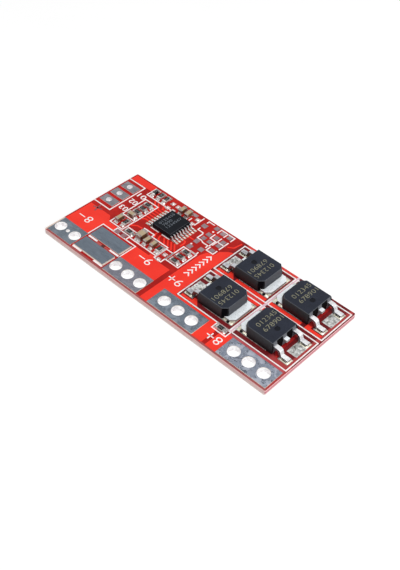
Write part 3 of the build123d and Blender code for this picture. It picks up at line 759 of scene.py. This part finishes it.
def print_outlines():
    """The white outlines round the parts."""
    boxes = [
        (2.2, 2.6, 13.36, 10.3), (13.85, 2.6, 24.69, 10.3),
        (2.2, -5.95, 13.36, 1.75), (13.85, -5.95, 24.69, 1.75),
        (10.95, -7.33, 13.8, -6.03),
        (-18.6, 1.3, -15.45, 6.9),
        (-6.6, -2.65, -5.05, 0.25),
        (-5.0, -1.65, -2.05, 2.75),
    ]
    lines = [
        [(-24.9, 9.0), (-20.95, 9.0), (-20.95, 0.35), (-24.9, 0.35)],
        [(-18.8, -6.6), (-18.8, -3.05), (-10.7, -3.05), (-10.7, -6.9)],
        [(-16.3, -3.05), (-16.3, -2.0), (-13.2, -2.0), (-13.2, -3.05)],
        [(-18.6, 1.3), (-18.6, -1.65), (-15.5, -1.65), (-15.5, 1.3)],
        [(-15.5, -0.5), (-13.1, -0.5)],
        [(-13.0, -2.2), (-6.7, -2.2), (-6.7, 0.65), (-10.6, 0.65), (-10.6, 1.3), (-13.0, 1.3), (-13.0, -2.2)],
        [(-19.4, 10.4), (-19.4, 8.0), (-13.2, 8.0)],
        [(-7.6, 8.0), (-7.6, 10.6)],
        [(-9.8, 8.3), (-9.8, 9.1)],
        [(-9.2, 8.3), (-9.2, 9.1)],
        [
            (-6.4, 8.3), (-6.4, 7.7), (-5.2, 7.7), (-5.0, 7.45), (-5.0, 6.1), (-4.0, 6.1),
            (-3.5, 5.84), (-2.3, 5.84), (-2.25, 5.2),
        ],
        [(-3.38, 9.32), (-3.38, 10.49), (-0.29, 10.49), (-0.29, 9.32)],
        [(-1.85, 10.49), (-1.85, 9.32)],
        [(-3.38, 8.86), (-3.38, 7.6), (-2.13, 7.6), (-2.13, 5.9)],
        [(-1.85, 8.86), (-1.85, 6.46)],
        [(-0.29, 8.86), (-0.29, 6.46)],
        [(-1.85, 7.71), (-0.29, 7.71)],
        [(-1.77, 5.99), (-1.77, 4.9), (-0.26, 4.9), (-0.26, 5.99)],
        [(-6.4, 10.0), (-6.4, 10.55), (-5.1, 10.55)],
        [(-3.6, 2.85), (-2.2, 2.85), (-2.3, 3.5)],
        [(-12.5, 2.3), (-10.6, 2.3)],
        [(-9.8, 2.3), (-8.0, 2.3)],
    ]
    return printed_lines("print_outlines", 0.2, boxes, lines)


def print_arrows():
    """A row of plain arrowheads along the print strip beside the transistors."""
    half_span, height, pitch = 0.55, 0.62, 0.9
    arrows = []
    for n in range(7):
        foot = 3.58 - pitch * n
        arrows.append([(-half_span, foot), (0.0, foot + height), (half_span, foot)])
    return printed_lines("print_arrow_row", 0.23, [], arrows)


def print_sense_bars():
    """Short wide bars of print in the gap of the sense pads and on the near side of them."""
    bm = bmesh.new()
    for x, length, y in (
        (-17.25, 2.1, -6.76), (-12.025, 2.15, -6.76), (-17.25, 2.1, -10.34), (-12.05, 2.1, -10.34),
    ):
        add_plate(bm, (x, y), length, 0.36, BOARD_TOP, PRINT_TOP)
    return keep_piece("print_sense_bars", bm, [SILK])


def bare_sense_gaps():
    """Bare spots between the bars of print and in the small box past them, and pale cream lines by the pads,
    which are a painted highlight along the pads' right and near edges.
    """
    bm = bmesh.new()
    add_block(bm, (-16.1, -7.2, BOARD_TOP), (-13.2, -6.7, PRINT_TOP - 0.006))
    add_block(bm, (-14.9, -7.25, BOARD_TOP), (-14.2, -6.62, PRINT_TOP), 1)
    add_block(bm, (-15.0, -3.0, MASK_TOP), (-14.5, -2.1, MASK_TOP + 0.006), 2)
    # Painted highlight: cream lines along the right and near edges of the sense pads
    for x0, y0, x1, y1 in (
        (-11.2, -6.35, -11.0, -3.5), (-11.2, -10.0, -11.0, -7.4), (-18.45, -10.2, -11.2, -10.06),
    ):
        add_block(bm, (x0, y0, BOARD_TOP), (x1, y1, PRINT_TOP - 0.003), 3)
    return keep_piece("bare_sense_gaps", bm, [PALE_GAP, DARK_GAP, DEEP_RED, CREAM_LINE])


def print_signs():
    """Plain numbers and polarity signs by the terminals and the cell taps."""
    digit, number, minus, plus, stroke = (1.65, 1.15), (1.15, 1.7), 1.35, 1.4, 0.19
    heights = (BOARD_TOP, PRINT_TOP)
    bm = bmesh.new()
    for words, x, y in (("8", -21.4, -4.1), ("9", -6.45, -4.1), ("9", 0.6, -4.1), ("8", 13.6, -8.8)):
        add_text(bm, words, *digit, (x, y), math.pi, *heights, -0.008)
    for words, y in (("01", 6.95), ("02", 4.8), ("03", 2.45)):
        add_text(bm, words, *number, (-19.6, y), math.pi, *heights, 0.006)
    for centre in ((-23.1, -4.1), (-8.0, -4.1)):
        add_plate(bm, centre, minus, stroke, *heights)
    for centre in ((-0.95, -4.1), (12.05, -8.8)):
        add_plate(bm, centre, plus, stroke, *heights)
        add_plate(bm, centre, stroke, plus, *heights)
    return keep_piece("print_signs", bm, [SILK])


def print_dots():
    """Two printed dots by the spare lands."""
    bm = bmesh.new()
    for centre in ((-4.1, 9.1), (-4.65, 4.25)):
        add_disc(bm, centre, 0.18, BOARD_TOP, PRINT_TOP, 16)
    return keep_piece("print_dots", bm, [SILK])


def bare_cross():
    """The dull cross by the battery minus terminal."""
    bm = bmesh.new()
    for across, along in ((1.9, 0.3), (0.32, 1.8)):
        bar = add_plate(bm, (0.0, 0.0), across, along, BOARD_TOP, MASK_TOP + 0.006)
        place_verts(bm, bar, (-22.8, -0.8), 0.2)
    return keep_piece("bare_cross_mark", bm, [BARE_MARK])


# Chips


CHIPS = [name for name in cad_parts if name.startswith(("resistor_", "capacitor_", "filter_"))]

# Plain values of the usual kind, in the order of the resistors' numbers; the tenth is dark all over
RESISTOR_VALUES = ("102", "102", "102", "101", "104", "103", "103", "103", "103", "0", "471", "471", "103")
DARK_RESISTOR = 10


def chip_frame(node):
    """A chip's centre, its turn about Z, its length and width and its two heights, from its CAD node."""
    low, high = box_mm(node)
    size = high - low
    along_y = size.y > size.x
    turn = math.pi / 2 if along_y else 0.0
    length, width = (size.y, size.x) if along_y else (size.x, size.y)
    return middle(node), turn, length, width, low.z, high.z


def add_end_caps(bm, length, width, cap, base, top, material, bevel):
    """The two end caps of a chip that lies along X; returns their vertices."""
    verts = []
    for side in (-1, 1):
        start, end = sorted((side * length / 2, side * (length / 2 - cap)))
        verts += add_block(bm, (start, -width / 2, base), (end, width / 2, top), material, bevel, 3)
    return verts


def resistor(node, digits, body):
    """A chip resistor: ceramic block, black glaze with a value, and bright end caps."""
    centre, turn, length, width, base, top = chip_frame(node)
    cap, lap, inset = 0.34, 0.04, 0.03
    block = (length - 2 * inset, width - 2 * inset, base + 0.02, top - 0.06)
    glaze = (length - 2 * (cap - lap), width - 0.1, top - 0.08, top - 0.012)
    bm = bmesh.new()
    verts = add_plate(bm, (0.0, 0.0), *block, 0, 0.02)
    verts += add_plate(bm, (0.0, 0.0), *glaze, 1, 0.02)
    verts += add_end_caps(bm, length, width, cap, base, top - 0.02, 2, 0.05)
    place_verts(bm, verts, centre, turn)
    add_text(bm, digits, 0.34, 0.6, centre, turn + math.pi, top - 0.014, top, -0.01, 3)
    materials = [body, RESISTOR_GLAZE, CAP_TIN, CHIP_MARK]
    return keep_piece(node + "_chip", bm, materials, (node,))


def capacitor(node):
    """A chip capacitor: a fired block with rounded edges, between dull end caps."""
    centre, turn, length, width, base, top = chip_frame(node)
    cap = 0.24 * length
    block = (length - 0.08, width - 0.06, base + 0.02, top - 0.03)
    bm = bmesh.new()
    verts = add_plate(bm, (0.0, 0.0), *block, 0, 0.05, 3)
    verts += add_end_caps(bm, length, width, cap, base, top, 1, 0.07)
    place_verts(bm, verts, centre, turn)
    return keep_piece(node + "_chip", bm, [CERAMIC, DULL_CAP_TIN], (node,))


def place_chips():
    """Every chip, with plain values on the resistors."""
    for number, digits in enumerate(RESISTOR_VALUES, 1):
        resistor(f"resistor_{number}", digits, RESISTOR_GLAZE if number == DARK_RESISTOR else ALUMINA)
    for node in CHIPS:
        if not node.startswith("resistor_"):
            capacitor(node)


def add_fillet(bm, length, width, start, height, centre, turn, side):
    """Solder on one land: a grid that rises in a hollow curve to the chip's end cap."""
    made = bmesh.ops.create_grid(bm, x_segments=FILLET_STEPS, y_segments=FILLET_STEPS, size=0.5)["verts"]
    for vert in made:
        along = vert.co.x + 0.5
        sideways = abs(vert.co.y) * 2
        crown = (1.0 - 0.55 * sideways ** 3) * (1.0 - along) ** 1.7
        rim = min(1.0, (1.0 - along) * 6.0) * min(1.0, (1.0 - sideways) * 5.0)
        level = PAD_TOP - 0.05 + 0.05 * rim + height * crown
        vert.co = Vector((side * (start + along * length), vert.co.y * width, level))
    skirt = bmesh.ops.extrude_face_region(bm, geom=faces_of(made))["geom"]
    lowered = [item for item in skirt if isinstance(item, bmesh.types.BMVert)]
    for vert in lowered:
        vert.co.z = BOARD_TOP
    moved = list(made) + lowered
    bmesh.ops.recalc_face_normals(bm, faces=faces_of(moved))
    place_verts(bm, moved, centre, turn)


def chip_solder():
    """Lands of all the chips with their shiny fillets, in one piece."""
    bm = bmesh.new()
    for node in sorted(CHIPS):
        centre, turn, length, width, base, top = chip_frame(node)
        reach, under, height = 0.36, 0.5, min(0.62 * (top - base), 0.42)
        for side in (-1, 1):
            add_fillet(bm, reach, width + 0.06, length / 2 - 0.02, height, centre, turn, side)
            start, end = sorted((side * (length / 2 - under), side * length / 2))
            shelf = add_block(bm, (start, -width / 2, BOARD_TOP), (end, width / 2, PAD_TOP - 0.005), 0, 0.02)
            place_verts(bm, shelf, centre, turn)
    return keep_piece("chip_solder", bm, [CHIP_SOLDER], ("chip_lands",), smooth_to=50)


# Power transistors


# The side that the leads point to, and the CAD node
BODIES = [(side, f"transistor_{number}_body") for number, side in TRANSISTORS]
TABS = [(side, f"transistor_{number}_drain_tab") for number, side in TRANSISTORS]
LEADS = [
    (side, f"transistor_{number}_{part}")
    for number, side in TRANSISTORS for part in ("gate_lead", "source_lead")
]


# How far the solder runs along a foot and a tab, and how far it spreads to their sides
FOOT_LENGTH = 1.3
TAB_LENGTH = 2.3
FOOT_MARGIN = 0.27
TAB_MARGIN = 0.26


def dress_transistors():
    """Crisp moulded bodies with painted highlights on their rounded edges, bright tabs, and leads with
    painted shade on the left.
    """
    for side, node in BODIES:
        epoxy = LEAD_SIDE_EPOXY if side > 0 else TRANSISTOR_EPOXY
        crisp_copy(node, epoxy, 0.06, EPOXY_EDGE, sunk=0.012, shortest=0.3)
    for side, node in TABS:
        crisp_copy(node, TAB_TIN, 0.02)
    for side, node in LEADS:
        crisp_copy(node, LEAD_TIN if side > 0 else SHADED_LEAD_TIN, 0.03)


def transistor_marks():
    """Two rows of plain digits on each transistor, laser-marked along Y."""
    height, length, depth = 0.84, 4.3, 0.02
    bm = bmesh.new()
    for side, node in BODIES:
        x, y = middle(node)
        top = box_mm(node)[1].z
        for row, words in ((-1.22, "012345"), (0.16, "678901")):
            centre = (x + side * row, y + side * 0.35)
            add_text(bm, words, height, length, centre, side * math.pi / 2, top - depth, top, -0.012)
    return keep_piece("transistor_marks", bm, [TOP_MARK])


def dimple_floors():
    """A darker disc on the floor of each body's dimple."""
    shift, radius = 1.3, 0.47
    lowest, highest = 0.065, 0.045
    bm = bmesh.new()
    for side, node in BODIES:
        x, y = middle(node)
        top = box_mm(node)[1].z
        add_disc(bm, (x + side * shift, y), radius, top - lowest, top - highest, 32)
    return keep_piece("dimple_floors", bm, [DIMPLE_EPOXY])


def add_rim(bm, outer_x, inner_x, low_y, high_y, margin, height):
    """Solder that slopes up from a land to what stands on it: a block whose top is drawn in."""
    outer_low, outer_high = sorted(outer_x)
    inner_low, inner_high = sorted(inner_x)
    top = PAD_TOP + height
    verts = add_cube(bm, (outer_low, low_y - margin, PAD_TOP), (outer_high, high_y + margin, top))
    for vert in verts:
        if vert.co.z > top - height / 2:
            vert.co.x = inner_low if vert.co.x < (outer_low + outer_high) / 2 else inner_high
            vert.co.y = low_y + 0.02 if vert.co.y < (low_y + high_y) / 2 else high_y - 0.02
    round_edges(bm, edges_of(verts), 0.035)


def transistor_solder():
    """Solder round each foot and along the outer sides of each tab."""
    bm = bmesh.new()
    for side, node in LEADS:
        low_y, high_y, toe = end_of(node, side)
        heel = toe - side * FOOT_LENGTH
        outer_x = (toe + side * 0.17, heel - side * 0.1)
        add_rim(bm, outer_x, (toe - side * 0.02, heel), low_y, high_y, FOOT_MARGIN, 0.2)
    for side, node in TABS:
        low_y, high_y, tab_end = end_of(node, -side)
        outer_x = (tab_end - side * 0.07, tab_end + side * (TAB_LENGTH + 0.1))
        inner_x = (tab_end + side * 0.02, tab_end + side * TAB_LENGTH)
        add_rim(bm, outer_x, inner_x, low_y, high_y, TAB_MARGIN, 0.15)
    return keep_piece("transistor_solder", bm, [SHINY_SOLDER], smooth_to=40)


def solder_shade_spots():
    """Small dark pieces of painted shade on the solder: a round one beside each tab where the fillet leaves a
    gap, and a slit of painted shadow on each foot's near side.
    """
    bm = bmesh.new()
    for side, node in LEADS:
        near_y, far_y, toe = end_of(node, side)
        start, end = sorted((toe - side * 0.15, toe - side * 1.15))
        # Painted shadow along each foot's near side
        add_block(bm, (start, near_y - 0.13, PAD_TOP), (end, near_y - 0.03, PAD_TOP + 0.2), 0, 0.02)
    for side, node in TABS:
        near_y, far_y, tab_end = end_of(node, -side)
        # Painted shade in the small gap of the fillet beside each tab
        add_disc(bm, (tab_end + side * 0.88, near_y - 0.12), 0.26, PAD_TOP, PAD_TOP + 0.18, 20)
    return keep_piece("solder_shade_spots", bm, [GAP_SHADE])


# Lacquer over the copper


def mask_strips():
    """The lacquer's edge on the outer end of the left-hand tab lands, and two patches by the plus sign."""
    strip_margin = 0.55
    bm = bmesh.new()
    for x0, x1, y1 in ((9.78, 10.9, -6.06), (13.87, 14.74, -6.2)):
        add_block(bm, (x0, BATTERY_COPPER_Y, BOARD_TOP), (x1, y1, MASK_TOP), 1)
    for side, node in TABS:
        if side < 0:
            low, high = box_mm(node)
            start = (12.97, low.y - strip_margin, BOARD_TOP)
            add_block(bm, start, (13.2, high.y + strip_margin, PAD_TOP + 0.008), 0, 0.01)
    return keep_piece("mask_strips", bm, [DEEP_RED, RAISED_MASK])


def wide_tracks():
    """The tracks under their lacquer, which rounds them out a little to each side, more at the foot."""
    bm = mesh_of("copper_tracks")
    bmesh.ops.recalc_face_normals(bm, faces=bm.faces)
    for vert in bm.verts:
        upright = [face.normal for face in vert.link_faces if abs(face.normal.z) < 0.5]
        outward = sum(upright, Vector()).normalized()
        vert.co += outward * (0.045 if vert.co.z < MASK_TOP - LEVEL else 0.03)
    return keep_piece("copper_tracks_lacquer", bm, [RAISED_MASK], ("copper_tracks",))


# Controller


def controller_marks():
    """Three rows of plain digits on the controller."""
    height, relief = 0.56, 0.004
    bm = bmesh.new()
    top = box_mm("controller_body")[1].z
    x, y = middle("controller_body")
    for shift, rise, length, words in (
        (-1.2, 0.13, 3.65, "0123456"), (-0.36, -0.55, 2.1, "7890"), (0.43, 0.2, 3.6, "1234567"),
    ):
        centre = (x + shift, y + rise)
        add_text(bm, words, height, length, centre, math.pi / 2, top - relief, top + relief, -0.01)
    return keep_piece("controller_marks", bm, [DIM_MARK])


def controller_solder():
    """A small shiny bead at the toe and along the foot of every lead."""
    length, lead_width, leads = 0.62, 0.26, 8
    bm = bmesh.new()
    for node, side in (("controller_leads_left", -1), ("controller_leads_right", 1)):
        near_y, far_y, toe = end_of(node, side)
        for n in range(leads):
            centre = (toe + side * 0.1, near_y + lead_width / 2 + CONTROLLER_PITCH * n)
            add_bead(bm, centre, (length, lead_width), PAD_TOP, 0.08, 6, 10)
    return keep_piece("controller_solder", bm, [DOME_SOLDER], smooth_to=180)


# Spare lands


def spare_plates():
    """Flat lands where nothing is fitted, smaller than their solids, so that the print shows between."""
    bm = bmesh.new()
    for x, y, across, along in (
        (-6.19, 9.17, 1.04, 0.98), (-4.16, 10.2, 0.9, 0.95), (-4.14, 8.08, 0.9, 0.9),
        (-4.14, 6.78, 0.84, 0.84), (-4.46, 5.38, 0.9, 1.04), (-2.55, 9.88, 0.88, 0.88),
        (-1.0, 9.92, 0.88, 0.88), (-2.6, 8.36, 0.88, 0.88), (-1.0, 8.3, 0.88, 0.88),
        (-1.0, 7.1, 0.88, 0.84), (-2.76, 6.78, 0.84, 0.84), (-0.96, 5.44, 0.9, 0.9),
        (-2.45, 4.34, 0.96, 0.96), (-4.4, 3.56, 0.96, 0.96),
    ):
        add_plate(bm, (x, y), across, along, BOARD_TOP, PAD_TOP, 0, 0.03)
    return keep_piece("spare_plates", bm, [SPARE_TIN], ("spare_lands",))


def spare_domes():
    """Domes of solder on the unfitted lands, which stand for the stepped solids."""
    bm = bmesh.new()
    for centre in (
        (-14.2, 9.5), (-14.2, 8.05), (-12.95, 9.5), (-12.95, 8.05),
        (-8.15, 9.45), (-8.15, 8.0), (-5.8, -0.95), (-5.8, -2.5),
    ):
        add_plate(bm, centre, 0.8, 0.8, BOARD_TOP, PAD_TOP, 0, 0.02)
        add_bead(bm, centre, (0.74, 0.74), PAD_TOP - 0.01, 0.22, 8, 16)
    return keep_piece("spare_domes", bm, [DOME_SOLDER], ("spare_solder",), smooth_to=50)


def small_far_land():
    """One more small land by the far edge."""
    bm = bmesh.new()
    add_block(bm, (-9.8, 9.72, BOARD_TOP), (-8.75, 10.45, PAD_TOP), 0, 0.03)
    return keep_piece("small_far_land", bm, [SPARE_TIN])


# Terminals, cell taps and sense pads


# The tin of each pad, by how the names of its nodes begin
PAD_TINS = {
    "b_minus": PAD_TIN, "b_plus": BATTERY_TIN, "p_minus": LOAD_TIN, "p_plus": STAINED_TIN,
    "cell_tap": TAP_TIN, "sense_pad": SENSE_TIN,
}


def round_pads():
    """Terminals, cell taps and sense pads with fine rounded edges."""
    for start, tin in PAD_TINS.items():
        radius = 0.06 if tin == TAP_TIN else 0.05
        for name in [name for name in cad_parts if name.startswith(start)]:
            crisp_copy(name, tin, radius, PAD_EDGE)


def vent_plug():
    """The bright bead of solder that closes the small vent between the battery minus holes."""
    bm = bmesh.new()
    add_bead(bm, middle("b_minus_terminal"), (0.72, 0.72), PAD_TOP - 0.01, 0.07, 6, 20)
    return keep_piece("vent_plug", bm, [VENT_SOLDER], smooth_to=180)


# Finishes of the CAD nodes


# The finish of each node, by how its name begins
NODE_FINISHES = {
    **PAD_TINS,
    "printed_board": BOARD, "copper_": RAISED_MASK, "sense_tap": TAP_LAND_TIN, "chip_lands": SHINY_SOLDER,
    "spare_lands": SPARE_TIN, "spare_solder": SHINY_SOLDER, "transistor_lands": LAND_TIN,
    "controller_body": CONTROLLER_EPOXY, "controller_leads": FINE_LEAD_TIN, "controller_lands": SHINY_SOLDER,
    "resistor_": RESISTOR_GLAZE, "capacitor_": CERAMIC, "filter_": CERAMIC,
}


def dress_nodes():
    """Gives every CAD node its material, also the nodes that a piece stands for."""
    for name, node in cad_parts.items():
        material = TRANSISTOR_EPOXY if name.endswith("_body") else LEAD_TIN
        for start, finish in NODE_FINISHES.items():
            if name.startswith(start):
                material = finish
        for place in node.material_slots:
            place.material = material
        if not node.material_slots:
            node.data.materials.append(material)


# Stage


def seen_directly(s):
    """1 for rays from the camera and in reflections or glass, and 0 for light that falls on the object."""
    path = s.add("LightPath").outputs
    reflected = s.math("MAXIMUM", path["Is Glossy Ray"], path["Is Transmission Ray"])
    return s.math("MAXIMUM", path["Is Camera Ray"], reflected)


def paper_material():
    """Paper that looks white and still takes a soft shadow."""
    material = bpy.data.materials.new("pale_floor")
    material.use_nodes = True
    material.node_tree.nodes.clear()
    s = Shading(material.node_tree)
    paper = s.noise(s.place(), 60.0, 2.0)
    shade = s.mix(paper, (148.9, 148.9, 148.9), (153.3, 153.3, 153.3))
    soft = s.add("BsdfDiffuse", {"Color": shade}).outputs["BSDF"]
    glow = s.add("Emission", {"Color": (1.0, 1.0, 1.0, 1.0), "Strength": 0.75}).outputs["Emission"]
    bright = s.add("AddShader", {0: soft, 1: glow}).outputs["Shader"]
    plain = s.add("BsdfDiffuse", {"Color": (0.7, 0.7, 0.7, 1.0)}).outputs["BSDF"]
    mixed = s.add("MixShader", {0: seen_directly(s), 1: plain, 2: bright}).outputs["Shader"]
    s.add("OutputMaterial", {"Surface": mixed})
    return material


def make_floor():
    """A plain pale floor just under the board."""
    bm = bmesh.new()
    bmesh.ops.create_grid(bm, x_segments=1, y_segments=1, size=1.5)
    mesh = bpy.data.meshes.new("floor")
    bm.to_mesh(mesh)
    bm.free()
    mesh.materials.append(paper_material())
    floor = bpy.data.objects.new("floor", mesh)
    floor.location.z = -0.00002
    bpy.context.scene.collection.objects.link(floor)


def make_world():
    """White to the eye and in reflections, and a gentle fill on the object."""
    world = bpy.data.worlds.new("studio")
    bpy.context.scene.world = world
    world.use_nodes = True
    world.node_tree.nodes.clear()
    s = Shading(world.node_tree)
    fill = 0.34
    strength = s.math("ADD", fill, s.times(seen_directly(s), 1.0 - fill))
    backdrop = s.add("Background", {"Color": (1.0, 1.0, 1.0, 1.0), "Strength": strength})
    s.add("OutputWorld", {"Surface": backdrop.outputs["Background"]})


def add_lamp(name, size, power, place):
    """A square soft lamp that looks at the middle of the board."""
    lamp = bpy.data.lights.new(name, "AREA")
    lamp.shape = "SQUARE"
    lamp.size = size
    lamp.energy = power
    holder = bpy.data.objects.new(name, lamp)
    holder.location = place
    holder.rotation_euler = Vector(place).to_track_quat("Z", "Y").to_euler()
    bpy.context.scene.collection.objects.link(holder)


def make_camera():
    """The photograph's camera: its place, its turn and its lens."""
    camera = bpy.data.cameras.new("camera")
    camera.sensor_fit = "VERTICAL"
    camera.sensor_height = 36.0
    camera.lens = 55.21
    camera.clip_start = 0.01
    camera.clip_end = 10.0
    right = Vector((0.72249784, 0.6905989, 0.03271129))
    down = Vector((0.5020306, -0.49151329, -0.7116038))
    forward = Vector((-0.47535477, 0.53055427, -0.70181907))
    holder = bpy.data.objects.new("camera", camera)
    turn = Matrix((right, -down, -forward)).transposed().to_4x4()
    holder.matrix_world = Matrix.Translation((0.070564, -0.077002, 0.100334)) @ turn
    bpy.context.scene.collection.objects.link(holder)
    bpy.context.scene.camera = holder


make_camera()
dress_nodes()
dress_transistors()
# The controller's rounded edges carry the same painted highlight and painted shade
crisp_copy("controller_body", CONTROLLER_EPOXY, 0.03, EPOXY_EDGE)
place_chips()
chip_solder()
transistor_solder()
solder_shade_spots()
transistor_marks()
dimple_floors()
wide_tracks()
mask_strips()
controller_marks()
controller_solder()
spare_plates()
spare_domes()
small_far_land()
round_pads()
vent_plug()
print_outlines()
print_arrows()
print_sense_bars()
bare_sense_gaps()
print_signs()
print_dots()
bare_cross()
make_floor()
make_world()
add_lamp("key_lamp", 0.35, 1.2, (0.13, -0.10, 0.42))
add_lamp("fill_lamp", 0.3, 0.7, (0.36, 0.04, 0.16))
bpy.context.scene.view_settings.view_transform = "Standard"
